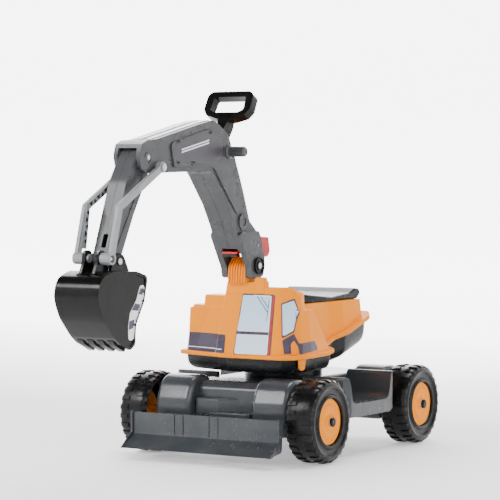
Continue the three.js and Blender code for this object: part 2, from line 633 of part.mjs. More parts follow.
function bentLink() {
  const upper = strap(linkPin, linkKnee, 13, linkInner, linkInner + 7);
  const lower = strap(linkKnee, earPin, 13, linkInner, linkInner + 7);
  const flanges = [[linkPin, linkKnee], [linkKnee, earPin]].map(([a, b]) => strap(a, b, 5, linkInner - 3, linkInner));
  const eye = barX(linkPin, 10.5, boomHalf + 1, linkInner + 7);
  const boss = barX(earPin, 11, 18.2, linkInner + 7);
  return cut(join(upper, lower, ...flanges, eye, boss),
    barX(linkPin, 4 + play, 0, 60), barX(earPin, 7.3, 0, 60));
}

const leftLink = bentLink();
piece('left_link', leftLink, linkGrey);
piece('right_link', mirrorX(leftLink), linkGrey);
const leftEarBolt = join(barX(earPin, 8, 8, 11.2, 20), barX(earPin, 3, 11, 38, 16));
piece('left_ear_bolt', leftEarBolt, steel);
piece('right_ear_bolt', mirrorX(leftEarBolt), steel);

model.position.y = midLength;
export default model;
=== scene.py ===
import bmesh
import bpy
import json
import math
from mathutils import Matrix, Vector
from mathutils.bvhtree import BVHTree


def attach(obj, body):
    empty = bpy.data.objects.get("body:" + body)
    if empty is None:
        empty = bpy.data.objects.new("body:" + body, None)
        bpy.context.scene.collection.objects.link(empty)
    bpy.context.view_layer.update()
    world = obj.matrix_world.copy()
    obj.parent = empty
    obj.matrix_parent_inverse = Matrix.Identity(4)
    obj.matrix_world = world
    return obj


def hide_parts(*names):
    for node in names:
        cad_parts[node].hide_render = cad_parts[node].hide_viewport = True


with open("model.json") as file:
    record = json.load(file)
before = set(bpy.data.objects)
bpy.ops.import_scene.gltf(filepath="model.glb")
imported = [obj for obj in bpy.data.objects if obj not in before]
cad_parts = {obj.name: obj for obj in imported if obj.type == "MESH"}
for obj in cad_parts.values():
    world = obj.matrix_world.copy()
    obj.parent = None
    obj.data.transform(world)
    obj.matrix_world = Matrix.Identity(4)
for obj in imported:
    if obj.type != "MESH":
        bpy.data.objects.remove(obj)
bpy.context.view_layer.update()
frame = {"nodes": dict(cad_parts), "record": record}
bodies = {node: body for body, nodes in frame["record"]["behaviour"]["bodies"].items() for node in nodes}
slots = {part["node"]: part["material_slot"] for part in frame["record"]["subparts"]}
slewY = 0.2277  # the outlines below count y from the slew axis, in millimetres
mm = 0.001
weld = 0.00002  # corners closer than this are made one, in metres
print("frame loaded:", len(frame["nodes"]), "nodes")


# a socket that can be used in Python sums
class Wire:
    def __init__(self, graph, socket):
        self.graph, self.socket = graph, socket

    def sum(self, operation, a, b):
        return self.graph.add("ShaderNodeMath", {"operation": operation}, [a, b])

    def __add__(self, other): return self.sum("ADD", self, other)
    def __radd__(self, other): return self.sum("ADD", other, self)
    def __sub__(self, other): return self.sum("SUBTRACT", self, other)
    def __rsub__(self, other): return self.sum("SUBTRACT", other, self)
    def __mul__(self, other): return self.sum("MULTIPLY", self, other)
    def __rmul__(self, other): return self.sum("MULTIPLY", other, self)


class Graph:
    def __init__(self, name):
        self.material = bpy.data.materials.new(name)
        self.material.use_nodes = True
        self.tree = self.material.node_tree
        self.tree.nodes.clear()
        self.shader = self.tree.nodes.new("ShaderNodeBsdfPrincipled")
        end = self.tree.nodes.new("ShaderNodeOutputMaterial")
        self.tree.links.new(self.shader.outputs[0], end.inputs[0])

    def plug(self, socket, value):
        if isinstance(value, Wire):
            self.tree.links.new(value.socket, socket)
        else:
            socket.default_value = value

    def add(self, kind, settings=None, inputs=(), out=0):
        node = self.tree.nodes.new(kind)
        for key, value in (settings or {}).items():
            setattr(node, key, value)
        pairs = inputs.items() if isinstance(inputs, dict) else enumerate(inputs)
        for key, value in pairs:
            self.plug(node.inputs[key], value)
        return Wire(self, node.outputs[out])

    def place(self, stretch=(1, 1, 1)):
        spot = self.add("ShaderNodeTexCoord", out="Object")
        return self.add("ShaderNodeMapping", inputs={"Vector": spot, "Scale": stretch})

    def noise(self, spot, scale, detail=3, rough=0.5):
        return self.add("ShaderNodeTexNoise", inputs={
            "Vector": spot, "Scale": scale, "Detail": detail, "Roughness": rough})

    def ramp(self, value, low, high):
        return self.add("ShaderNodeMapRange", inputs={"Value": value, "From Min": low, "From Max": high})

    def mix(self, amount, a, b):
        return self.add("ShaderNodeMix", {"data_type": "RGBA"}, {0: amount, 6: a, 7: b}, 2)

    def along(self, name):
        return self.add("ShaderNodeSeparateXYZ", inputs=[self.add("ShaderNodeTexCoord", out="Object")], out=name)


def shade(colour, factor):
    return tuple(min(1, c * factor) for c in colour[:3]) + (1,)


# moulded plastic: slow colour drift, fine grain, faint flow waves, thin scuffs and a little dust
def mouldedPlastic(name, colour, rough=0.35, grain=0.12, wave=0.10, scuff=0.25, dust=0.0, drift=0.06, shine=0.5):
    g = Graph(name)
    spot = g.place()
    cloud = g.ramp(g.noise(spot, 7, 4), 0.3, 0.7)
    base = g.mix(cloud, shade(colour, 1 - drift), shade(colour, 1 + drift))
    scratch = g.ramp(g.noise(g.place((60, 9, 14)), 9, 2, 0.6), 0.66, 0.74)
    scratch = scratch * g.ramp(g.noise(spot, 22, 2), 0.45, 0.65) * scuff
    worn = g.mix(scratch, base, shade(tuple(c * 0.5 + 0.22 for c in colour[:3]), 1))
    if dust:
        low = g.ramp(g.along("Z"), 0.16, 0.0) * g.ramp(g.noise(spot, 16, 5, 0.6), 0.42, 0.75) * dust
        worn = g.mix(low, worn, (0.34, 0.31, 0.27, 1))
        g.plug(g.shader.inputs["Roughness"], rough + 0.10 * (cloud - 0.5) + scratch * 0.35 + low * 0.6)
    else:
        g.plug(g.shader.inputs["Roughness"], rough + 0.10 * (cloud - 0.5) + scratch * 0.35)
    g.plug(g.shader.inputs["Base Color"], worn)
    bumpy = g.add("ShaderNodeBump", inputs={
        "Strength": wave, "Distance": 0.004, "Height": g.noise(spot, 34, 2)})
    fine = g.add("ShaderNodeBump", inputs={
        "Strength": grain, "Distance": 0.0004, "Height": g.noise(spot, 1400, 2) + scratch * -0.6,
        "Normal": bumpy})
    g.plug(g.shader.inputs["Normal"], fine)
    g.shader.inputs["Specular IOR Level"].default_value = shine
    g.shader.inputs["IOR"].default_value = 1.45
    return g.material


def platedSteel(name, colour, rough=0.28):
    g = Graph(name)
    brushed = g.noise(g.place((8, 260, 260)), 3, 3, 0.7)
    cloud = g.noise(g.place(), 60, 4)
    g.plug(g.shader.inputs["Base Color"], g.mix(cloud, shade(colour, 0.86), shade(colour, 1.08)))
    g.plug(g.shader.inputs["Roughness"], rough + 0.16 * brushed)
    g.plug(g.shader.inputs["Normal"], g.add("ShaderNodeBump", inputs={
        "Strength": 0.12, "Distance": 0.0003, "Height": brushed}))
    g.shader.inputs["Metallic"].default_value = 1.0
    return g.material


finishes = {
    "yellow_plastic": mouldedPlastic("yellowPlastic", (0.86, 0.25, 0.0),
                                     rough=0.30, scuff=0.04, drift=0.02, shine=0.06),
    "slate_plastic": mouldedPlastic("slatePlastic", (0.034, 0.038, 0.043), rough=0.22, dust=0.06, wave=0.16),
    "dark_grey_plastic": mouldedPlastic("darkGreyPlastic", (0.008, 0.009, 0.010),
                                        rough=0.27, grain=0.3, wave=0.06, shine=0.22),
    "boom_grey_plastic": mouldedPlastic("boomGreyPlastic", (0.047, 0.049, 0.053), rough=0.27, scuff=0.03, shine=0.4),
    "light_grey_plastic": mouldedPlastic("lightGreyPlastic", (0.22, 0.23, 0.24), rough=0.34, scuff=0.12),
    "black_plastic": mouldedPlastic("blackPlastic", (0.004, 0.004, 0.0037),
                                    rough=0.15, grain=0.05, scuff=0.05, shine=0.22),
    "tyre_black": mouldedPlastic("tyreBlack", (0.004, 0.004, 0.0042),
                                 rough=0.24, grain=0.2, dust=0.03, wave=0.12, shine=0.25),
    "red_plastic": mouldedPlastic("redPlastic", (0.50, 0.001, 0.003), rough=0.25, scuff=0.06),
    "steel": platedSteel("zincPlate", (0.62, 0.63, 0.65)),
}
prints = {
    "dark": mouldedPlastic("darkPrint", (0.038, 0.026, 0.050), rough=0.30, grain=0.03, wave=0.02, scuff=0.08),
    "white": mouldedPlastic("whitePrint", (0.80, 0.82, 0.84), rough=0.28, grain=0.03, wave=0.02, scuff=0.04),
    # pale strips on the boom's top: real raised strips, their pale colour a painted highlight
    "strip": mouldedPlastic("paleStripHighlight", (0.42, 0.44, 0.46), rough=0.22, grain=0.1, scuff=0.1),
    "haze": mouldedPlastic("boomPanel", (0.046, 0.042, 0.050), rough=0.36, grain=0.1, scuff=0.1),
    "slot": mouldedPlastic("slotShadow", (0.004, 0.004, 0.004), rough=0.6, grain=0.03, scuff=0.02),
    "red": mouldedPlastic("redPrint", (0.42, 0.02, 0.015), rough=0.28, grain=0.03, wave=0.02, scuff=0.04),
}


def windowPrint():
    g = Graph("windowPrint")
    sheen = g.ramp(g.along("Z") + 0.02 * g.noise(g.place(), 30, 2), 0.20, 0.33)
    sky = g.mix(sheen, (0.66, 0.76, 0.86, 1), (0.42, 0.60, 0.80, 1))
    g.plug(g.shader.inputs["Base Color"], sky)
    g.plug(g.shader.inputs["Roughness"], 0.20 + 0.06 * g.noise(g.place(), 80, 2))
    return g.material


prints["window"] = windowPrint()
print("finishes made:", len(finishes))


# a spot on an outline, in the scene's metres
def place(y, z):
    return (y * mm + slewY, z * mm)


def newPiece(name, mesh, body, slot, look=None, stands=()):
    piece = bpy.data.objects.new(name, mesh)
    bpy.context.scene.collection.objects.link(piece)
    mesh.materials.clear()
    mesh.materials.append(look or finishes[slot])
    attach(piece, body)
    if stands:
        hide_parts(*stands)
    return piece


def smoothFaces(mesh, angle=38):
    for face in mesh.polygons:
        face.use_smooth = True
    mesh.set_sharp_from_angle(angle=math.radians(angle))


def softEdges(piece, width, segments=2, angle=28):
    edge = piece.modifiers.new("softEdges", "BEVEL")
    edge.width = width * mm
    edge.segments = segments
    edge.limit_method = "ANGLE"
    edge.angle_limit = math.radians(angle)
    edge.harden_normals = True
    edge.use_clamp_overlap = True
    edge.miter_outer = "MITER_ARC"


# a carried-over shape with its edges eased and its flats made whole
def easedPart(node, width):
    source = frame["nodes"][node]
    mesh = bpy.data.meshes.new(node + "Mesh")
    form = bmesh.new()
    form.from_mesh(source.data)
    bmesh.ops.remove_doubles(form, verts=form.verts, dist=weld)
    bmesh.ops.dissolve_limit(form, angle_limit=math.radians(0.8), verts=form.verts, edges=form.edges)
    form.to_mesh(mesh)
    form.free()
    for spare in [a.name for a in mesh.attributes if a.name == "custom_normal"]:
        mesh.attributes.remove(mesh.attributes[spare])
    smoothFaces(mesh)
    softEdges(newPiece(node + "_finished", mesh, bodies[node], slots[node], stands=[node]), width)


# an outline of [a, b, corner radius] on a plane, its corners rounded
def outline(form, plane, corners, at, fine=6):
    def spot(a, b):
        y, z = place(a, b) if plane == "side" else place(at, b) if plane == "front" else place(b, at)
        return Vector(((at if plane == "side" else a) * mm, y, z))
    spots = [spot(c[0], c[1]) for c in corners]
    verts = [form.verts.new(p) for p in spots]
    form.faces.new(verts)
    for i, (vert, corner) in enumerate(zip(verts, corners)):
        if len(corner) < 3 or not corner[2]:
            continue
        before, after = spots[i - 1] - spots[i], spots[(i + 1) % len(spots)] - spots[i]
        reach = corner[2] * mm * math.tan((math.pi - before.angle(after)) / 2)
        bmesh.ops.bevel(form, geom=[vert], offset=min(reach, 0.46 * before.length, 0.46 * after.length),
                        offset_type="OFFSET", segments=fine, profile=0.5, affect="VERTICES", material=-1)


def movable(raised):
    return [part for part in raised["geom"] if isinstance(part, bmesh.types.BMVert)]


def sliceAt(form, spot, normal, clear=False):
    bmesh.ops.bisect_plane(form, geom=form.verts[:] + form.edges[:] + form.faces[:], dist=1e-6,
                           plane_co=spot, plane_no=normal, clear_outer=clear)


def stretch(form, vector, grow=(1, 1), about=(0, 0), lean=0):
    moved = movable(bmesh.ops.extrude_face_region(form, geom=form.faces[:]))
    bmesh.ops.translate(form, vec=vector, verts=moved)
    cx, cy = about[0] * mm, about[1] * mm + slewY
    for vert in moved:
        vert.co.x = cx + (vert.co.x - cx) * grow[0] + lean * mm
        vert.co.y = cy + (vert.co.y - cy) * grow[1]


def trim(form, spot, normal):
    y, z = place(spot[1], spot[2])
    sliceAt(form, (spot[0] * mm, y, z), normal, True)
    rim = [edge for edge in form.edges if edge.is_boundary]
    if rim:
        bmesh.ops.holes_fill(form, edges=rim, sides=0)


# the height of a side line [(y, z), ...] at y
def onLine(line, y):
    for (ya, za), (yb, zb) in zip(line, line[1:]):
        if y <= yb:
            return za + (zb - za) * (y - ya) / (yb - ya)
    return line[-1][1]


def formMesh(form, name, smooth=38):
    bmesh.ops.remove_doubles(form, verts=form.verts, dist=weld)
    bmesh.ops.recalc_face_normals(form, faces=form.faces)
    mesh = bpy.data.meshes.new(name + "Mesh")
    form.to_mesh(mesh)
    form.free()
    smoothFaces(mesh, smooth)
    return mesh


def planBlock(name, corners, low, high, body, slot, grow=(1, 1), about=(0, 0), trims=(), edge=4, lean=0):
    form = bmesh.new()
    outline(form, "plan", corners, low)
    stretch(form, (0, 0, (high - low) * mm), grow, about, lean)
    for spot, normal in trims:
        trim(form, spot, normal)
    piece = newPiece(name, formMesh(form, name), body, slot)
    softEdges(piece, edge, 4, 24)
    return piece


def sideBlock(name, corners, x0, x1, body, slot, trims=(), edge=2, stands=(), fine=6):
    form = bmesh.new()
    outline(form, "side", corners, x0, fine)
    stretch(form, ((x1 - x0) * mm, 0, 0))
    for spot, normal in trims:
        trim(form, spot, normal)
    piece = newPiece(name, formMesh(form, name), body, slot, stands=stands)
    if edge:
        softEdges(piece, edge, 5 if edge > 4 else 3, 24)
    return piece


# bevel widths, in millimetres; the other parts get 0.4
easing = {
    "dozer_blade": 0.9, "boom_left_half": 1.2, "boom_right_half": 1.2, "left_side_cover": 0.7,
    "right_side_cover": 0.7, "stick_left_half": 1.0, "stick_right_half": 1.0, "bucket": 1.0, "left_link": 0.7,
    "right_link": 0.7, "latch": 0.9, "d_handle_lever": 2.4, "clip_tab": 0.8, "slew_ring": 0.6, "side_grip": 0.8,
}
rebuilt = [name for name in frame["nodes"] if name.endswith(("_tyre", "_hub"))]
rebuilt += ["body_shell", "base_tray", "chassis_shell", "left_footrest", "right_footrest", "seat"]
for node in sorted(frame["nodes"]):
    if node not in rebuilt:
        easedPart(node, easing.get(node, 0.4))
print("carried-over parts eased")

# upper body: rounded yellow lumps that run into each other above one wavy hem
cowl = {
    "rear": -100,
    "plan": [(112, -204, 14), (136, -184, 16), (141, -150, 20), (132, -22, 8), (100, -4, 12), (96, 46, 16),
             (109, 84, 20), (107, 178, 20), (90, 206, 16), (-90, 206, 16), (-107, 178, 20), (-111, 84, 20),
             (-98, 46, 16), (-102, -4, 12), (-140, -22, 8), (-157, -118, 20), (-157, -154, 14), (-26, -198, 6)],
    "hem": [(-230, 196), (-64, 196), (-44, 197), (-26, 200), (215, 266)],
    "hemHeight": 9,
    "cab": [(-50, -192, 6), (-6, -198, 3), (104, -198, 16), (132, -156, 16), (126, -124, 14), (90, -100, 10),
            (-50, -100, 4)],
    "neck": [(-33, -178, 4), (6, -182, 3), (40, -182, 3), (40, -124, 3), (-30, -124, 4)],
    "hood": [(6, -190), (-26, -191, 4), (-146, -148, 14), (-148, -112, 16), (-142, -100, 8), (6, -100)],
    "saddle": [(98, -104), (92, -4, 16), (88, 46, 20), (101, 84, 20), (100, 168, 16), (83, 194, 12),
               (-83, 194, 12), (-100, 168, 16), (-103, 84, 20), (-90, 46, 20), (-94, -4, 16), (-98, -104)],
    "flank": [(134, -158, 4), (134, -120, 10), (124, -24, 8), (80, -12), (80, -158)],
    "mast": [(-188, 344), (-186, 379, 20), (-163, 402, 24), (-136, 379, 20), (-132, 344)],
    "shoulder": [(-182, 324), (-179, 357, 6), (-168, 357, 6), (-158, 324)],
}


def hemBand():
    form = bmesh.new()
    outline(form, "plan", cowl["plan"], 0, 8)
    for y in (-64, -54, -44, -34, -26):
        sliceAt(form, (0, y * mm + slewY, 0), (0, 1, 0))
    stretch(form, (0, 0, cowl["hemHeight"] * mm))
    for vert in form.verts:
        vert.co.z += onLine(cowl["hem"], (vert.co.y - slewY) * 1000) * mm
    piece = newPiece("hem_band", formMesh(form, "hemBand"), "upper", "yellow_plastic", stands=["body_shell"])
    softEdges(piece, 2.4, 4, 30)
    return piece


def upperBody():
    rear = cowl["rear"]
    made = [hemBand()]
    roof = [((108, 0, 345), (43, 0, 23)), ((131, 0, 302), (72, 0, 10)),
            ((0, -166, 338), (0, 14, 40)), ((0, -126, 324), (0, 28, 34))]
    # name, outline, low, high, top's scale, centre of that scale, cuts, edge, lean of the top
    lumps = [
        ("cab_block", "cab", 198, 338, (0.844, 0.8), (0, rear), roof, 5, 10),
        ("mast_neck", "neck", 322, 347.2, (0.93, 0.97), (24, rear), (), 3, 0),
        ("hood_low", "hood", 198, 297, (0.92, 0.82), (0, rear), (), 4, 0),
        ("hood_high", "hood", 198, 318, (0.9, 0.74), (0, rear), [((-101, 0, 0), (-1, 0, 0))], 4, 0),
        ("saddle_block", "saddle", 200, 299, (0.9, 0.97), (0, 60),
         [((0, 168, 299), (0, 33, 26)), ((0, -26, 202), (0, 66, -241))], 5, 0),
    ]
    for name, shape, low, high, *rest in lumps:
        made.append(planBlock(name, cowl[shape], low, high, "upper", "yellow_plastic", *rest))
    for side, word in ((1, "left"), (-1, "right")):
        corners = [(x * side, *rest) for x, *rest in cowl["flank"]]
        made.append(planBlock(f"{word}_flank", corners, 199, 292, "upper", "yellow_plastic", (0.96, 1), (0, 0),
                              [((0, -104, 292), (0, 78, 70))], 5))
    made.append(sideBlock("mast_shoulder", cowl["shoulder"], 36.8, 61, "upper", "yellow_plastic", edge=3))
    core = [(y + (3 if y < -160 else -3), z - (3 if z > 390 else 0), *r) for y, z, *r in cowl["mast"]]
    made.append(sideBlock("mast_core", core, -18.5, 18.5, "upper", "yellow_plastic", edge=0, fine=10))
    for i in range(7):
        x = -18 + 6 * i
        made.append(sideBlock(f"mast_rib_{i + 1}", cowl["mast"], max(x - 1.7, -19.7), min(x + 1.7, 19.7), "upper",
                              "yellow_plastic", edge=0.7, fine=10))
    return made


# chassis: a flat deck between four rounded wheel humps, a box on the nose and lugs for the blade
chassis = {
    "hump": [(-252, 50, 14), (-252, 112, 34), (-230, 160, 42), (-166, 160, 42), (-138, 112, 34), (-138, 50, 14)],
    "deck": [(-214, 78, 12), (-214, 138, 14), (-196, 150, 16), (196, 150, 16), (214, 138, 14), (214, 78, 12)],
    "nose": [(-72, -234, 10), (-14, -236, 12), (30, -212, 10), (30, -190), (-72, -190)],
    "shelf": [(-30, -249, 8), (66, -249, 8), (66, -190), (-30, -190)],
    "lug": [(-272, 62, 9), (-272, 82, 9), (-210, 92), (-210, 79)],
    "step": [(-92, 78, 10), (-100, 92, 10), (-98, 158, 5), (-88, 158, 5), (-78, 104, 14), (76, 104, 16),
             (88, 158, 12), (104, 158, 14), (112, 118, 16), (100, 84, 14), (80, 76, 10)],
}


def chassisBlocks():
    body, slot, stands = "chassis", "slate_plastic", ["chassis_shell"]
    sideBlock("deck_block", chassis["deck"], -100, 100, body, slot, edge=7, stands=stands)
    for end, flip in (("front", 1), ("rear", -1)):
        corners = [(y * flip, z, r) for y, z, r in chassis["hump"]]
        for side in (1, -1):
            x0, x1 = (70, 152) if side > 0 else (-152, -70)
            sideBlock(f"{end}_{'left' if side > 0 else 'right'}_hump", corners, x0, x1, body, slot, edge=11)
    planBlock("nose_box", chassis["nose"], 84, 119, body, slot, (0.97, 0.99), (-20, -190), edge=6)
    planBlock("nose_shelf", chassis["shelf"], 81, 93, body, slot, edge=3)
    for name, x in (("left_hinge", 42), ("right_hinge", -42)):
        for i, shift in enumerate((-7.3, 7.3)):
            sideBlock(f"{name}_lug_{i + 1}", chassis["lug"], x + shift - 3, x + shift + 3, body, slot, edge=1)
    for side, word in ((1, "left"), (-1, "right")):
        x0, x1 = (100.3, 204.5) if side > 0 else (-204.5, -100.3)
        cuts = [((182 * side, -110, 0), (26 * side, -23, 0)), ((182 * side, 120, 0), (28 * side, 23, 0))]
        sideBlock(f"{word}_step", chassis["step"], x0, x1, body, slot, cuts, edge=5, stands=[f"{word}_footrest"])
        for i, y in enumerate((-58, -33, -8, 17, 42)):
            rib = [(112 * side, y, 2), (196 * side, y, 2), (196 * side, y + 8, 2), (112 * side, y + 8, 2)]
            planBlock(f"{word}_tread_rib_{i + 1}", rib, 102, 105.4, body, slot, edge=0.9)


def seatPad():
    side = [(-84, 299.4), (-88, 310, 8), (-50, 318, 30), (60, 308, 60), (136, 313, 30), (160, 322, 12), (178, 321, 8),
            (182, 310, 6), (168, 299.4)]
    cuts = [((84 * way, -30, 0), (60 * way, -24, 0)) for way in (1, -1)]
    sideBlock("seat_pad", side, -82, 82, "upper", "dark_grey_plastic", cuts, edge=6, stands=["seat"])


chassisBlocks()
seatPad()
print("chassis and seat made")

# dark tray under the hem, its lower edge rolled in
tray = {
    "inset": 10, "halfWidth": 140, "halfLength": 204, "overlap": 4,
    "roll": [(0, 0), (0.45, 1), (0.66, 2.5), (0.8, 5), (0.91, 9), (0.97, 13), (1, 18)],
    "floor": [(-230, 167), (14, 167), (30, 170), (212, 214)],
}


def trayShell():
    form = bmesh.new()
    outline(form, "plan", cowl["plan"], 0, 6)
    for y in (-44, -26, 6, 14, 22, 30):
        sliceAt(form, (0, y * mm + slewY, 0), (0, 1, 0))
    layer = form.faces[:]
    start = {vert: vert.co.copy() for vert in form.verts}
    drops = {}
    wide = deep = 1
    for step, (share, inset) in enumerate(tray["roll"]):
        if step:
            raised = bmesh.ops.extrude_face_region(form, geom=layer)["geom"]
            if step > 1:
                bmesh.ops.delete(form, geom=layer, context="FACES_ONLY")
            layer = [part for part in raised if isinstance(part, bmesh.types.BMFace)]
        lastWide, lastDeep = wide, deep
        wide = 1 - (inset + tray["inset"]) / tray["halfWidth"]
        deep = 1 - (inset + tray["inset"]) / tray["halfLength"]
        for vert in {vert for face in layer for vert in face.verts}:
            if vert not in start:
                start[vert] = Vector((vert.co.x / lastWide, (vert.co.y - slewY) / lastDeep + slewY, 0))
            base = start[vert]
            vert.co.x, vert.co.y = base.x * wide, (base.y - slewY) * deep + slewY
            drops[vert] = share
    for vert, share in drops.items():
        y = (start[vert].y - slewY) * 1000
        top, floor = onLine(cowl["hem"], y) + tray["overlap"], onLine(tray["floor"], y)
        vert.co.z = (top * (1 - share) + floor * share) * mm
    newPiece("tray_shell", formMesh(form, "trayShell", 40), "upper", "dark_grey_plastic", stands=["base_tray"])


trayShell()
bodyPieces = upperBody()
print("upper body made")


def surfaceTree(pieces):
    whole = bmesh.new()
    reader = bpy.context.evaluated_depsgraph_get()
    for piece in pieces:
        seen = piece.evaluated_get(reader)
        whole.from_mesh(seen.to_mesh())
        seen.to_mesh_clear()
    tree = BVHTree.FromBMesh(whole)
    whole.free()
    return tree


# a printed film: an outline pressed onto the surface behind it, standing out by "lift" millimetres
def printOn(tree, name, plane, corners, look, lift, body, slot, side=1, thick=0.8, step=2.5):
    aims = {"side": (-side, 0, 0), "front": (0, 1, 0), "corner": (-0.8, 0.6, 0), "plan": (0, 0, -1)}
    aim = Vector(aims[plane])
    # where the outline starts, clear of the body: its plane, its distance and its corner steps
    starts = {"side": ("side", 260 * side, 5), "front": ("front", -280, 5), "corner": ("side", 118, 5),
              "plan": ("plan", 760, 6)}
    view, at, fine = starts[plane]
    form = bmesh.new()
    outline(form, view, corners, at, fine)
    if plane == "corner":
        reach = 0.2
        bmesh.ops.translate(form, vec=aim * -reach, verts=form.verts)
    for axis in ((1, 0, 0), (0, 1, 0), (0, 0, 1)):
        spread = [vert.co.dot(Vector(axis)) for vert in form.verts]
        cut = min(spread) + step * mm
        while cut < max(spread):
            sliceAt(form, Vector(axis) * cut, axis)
            cut += step * mm
    bmesh.ops.triangulate(form, faces=form.faces[:])
    missed = []
    for vert in form.verts:
        hit = tree.ray_cast(vert.co, aim)[0]
        if hit:
            vert.co = hit + aim * (thick - lift) * mm
        else:
            missed.append(vert)
    bmesh.ops.delete(form, geom=missed, context="VERTS")
    raised = bmesh.ops.extrude_face_region(form, geom=form.faces[:])
    bmesh.ops.translate(form, vec=aim * -thick * mm, verts=movable(raised))
    newPiece(name, formMesh(form, name, 50), body, slot, prints[look])


films = [
    ("front_window_frame", "front", [(-1.5, 203, 5), (84.5, 203, 5), (86, 323.5, 5), (11, 324.5, 5)],
     "dark", 0.35),
    ("front_window_edge", "front", [(0.7, 205.4, 4), (76.5, 205.4, 3), (78, 321.4, 3), (13, 322.2, 4)],
     "white", 0.5),
    ("front_window_bar", "front", [(2.2, 244), (76.4, 244), (76.6, 250), (3.0, 250)], "dark", 0.65),
    ("front_window_upper", "front", [(4.2, 251.6, 2), (74.8, 251.6, 2), (76, 319.6, 2), (14.6, 320.2, 3)],
     "window", 0.65),
    ("front_window_lower", "front", [(2.6, 207.4, 3), (74.4, 207.4, 2), (74.8, 242.6, 2), (3.8, 242.6, 2)],
     "window", 0.65),
    ("front_window_stripe", "front", [(78.6, 206, 1), (82.2, 206, 2), (83.8, 321, 2), (80.2, 321, 1)], "red", 0.5),
    ("wiper_arm", "front", [(44, 319.2), (46.4, 319.2), (72.0, 289.2), (70.6, 288)], "dark", 0.8),
    ("wiper_link", "front", [(53, 319.2), (55, 319.2), (73.4, 297), (72.2, 296)], "dark", 0.8),
    ("wiper_blade", "front", [(69.6, 272), (70.8, 272), (74, 312), (72.6, 312)], "dark", 0.8),
    ("hood_panel", "front", [(-141, 205, 3), (-24, 205, 3), (-24, 241.5, 3), (-139, 241.5, 3)], "dark", 0.35),
    ("hood_panel_line", "front", [(-134, 211.5), (-31, 211.5), (-31, 213), (-134, 213)], "white", 0.5),
    ("side_window_edge", "corner",
     [(-195, 307, 3), (-158, 316, 3), (-148.5, 293, 4), (-163, 250, 4), (-198, 238, 3)], "dark", 0.4),
    ("side_window", "corner",
     [(-192.5, 304.5, 2), (-160.5, 312, 3), (-151.5, 292.5, 3), (-165.5, 253, 3), (-195, 242.5, 3)], "window", 0.6),
    ("side_panel", "corner",
     [(-197, 235, 1), (-164, 247, 1), (-152, 228), (-93, 230, 3), (-77, 211, 3), (-151, 206.5, 1), (-155, 222, 2),
      (-165, 234, 3), (-174, 227, 2), (-174, 208, 1), (-194, 208, 2)], "dark", 0.4),
]
bodyTree = surfaceTree(bodyPieces)
for film in films:
    printOn(bodyTree, *film, "upper", "yellow_plastic")
print("printed films laid")


def pieceTree(*nodes):
    return surfaceTree([piece for piece in bpy.data.objects if piece.type == "MESH" and piece.name in nodes])


# raised strips on the boom's top, coloured pale as a painted highlight, dark slots, a plain panel with two lines and
# the seam between the halves
def boomTrim():
    shells = pieceTree("boom_left_half", "boom_right_half", "left_side_cover", "right_side_cover")
    # the strips stand out as real bars; their pale colour is a painted highlight
    for name, x0, x1 in (("left_top_strip", 4, 18), ("right_top_strip", -18, -4)):
        strip = [(x0, -516, 3), (x1, -516, 3), (x1, -316, 3), (x0, -316, 3)]
        printOn(shells, name, "plan", strip, "strip", 1.2, "boom", "light_grey_plastic", thick=2.4, step=8)
    # y, z, width, height, slope
    openings = [(-463, 577, 8, 4, 0), (-401, 578, 8, 4, 0), (-445, 622, 8, 4, 0.2), (-338, 643, 8, 4, 0.2),
                (-246, 565, 4, 9, 0.2), (-212, 500, 4, 9, 0.2)]
    headY, headZ = -546, 591
    for side, word in ((1, "left"), (-1, "right")):
        for i, (y, z, wide, high, slope) in enumerate(openings):
            half = wide / 2
            box = [(y - half, z - high / 2 - slope * half), (y + half, z - high / 2 + slope * half),
                   (y + half, z + high / 2 + slope * half), (y - half, z + high / 2 - slope * half)]
            printOn(shells, f"{word}_cover_slot_{i + 1}", "side", box, "slot", 0.25, "boom", "black_plastic", side)
        for i, start in enumerate((100, 280)):
            arc = []
            for r, turns in ((11.5, range(0, 81, 16)), (8.5, range(80, -1, -16))):
                for t in turns:
                    angle = math.radians(start + t)
                    arc.append((headY + r * math.cos(angle), headZ + r * math.sin(angle)))
            printOn(shells, f"{word}_head_arc_{i + 1}", "side", arc, "slot", 0.25, "boom", "black_plastic", side)
        panel = [(-466, 584, 5), (-452, 624, 6), (-345, 646, 10), (-296, 632, 14), (-286, 600, 14), (-318, 580, 8)]
        printOn(shells, f"{word}_boom_panel", "side", panel, "haze", 0.25, "boom", "boom_grey_plastic", side)
        for i, z in enumerate((600, 605)):
            line = [(-436, z), (-340, z + 19), (-340, z + 21.5), (-436, z + 2.5)]
            printOn(shells, f"{word}_boom_line_{i + 1}", "side", line, "white", 0.45, "boom", "boom_grey_plastic",
                    side)
    seam = [(-0.6, 380), (0.6, 380), (0.6, 566), (-0.6, 566)]
    printOn(shells, "boom_seam", "front", seam, "slot", 0.2, "boom", "black_plastic", step=12)


# a white strip with three dark bars on each side of the bucket
def bucketTrim():
    bowl = pieceTree("bucket")
    outer = [(-584, 360, 5), (-598, 358, 6), (-610, 333, 12), (-630, 311, 12), (-636, 288, 12), (-636, 262, 6),
             (-621, 260, 6), (-618, 290, 14), (-602, 314, 12), (-590, 336, 10)]
    bars = [[(-597.6, 353), (-585.4, 354), (-588.6, 341), (-604, 343)],
            [(-614.5, 327), (-596, 324), (-602, 313), (-626, 315)],
            [(-633.4, 296), (-616, 298), (-618.6, 283), (-635.2, 280)]]
    for side, word in ((1, "left"), (-1, "right")):
        printOn(bowl, f"{word}_bucket_strip", "side", outer, "white", 0.4, "bucket", "black_plastic", side)
        for i, bar in enumerate(bars):
            printOn(bowl, f"{word}_bucket_bar_{i + 1}", "side", bar, "dark", 0.6, "bucket", "black_plastic", side)


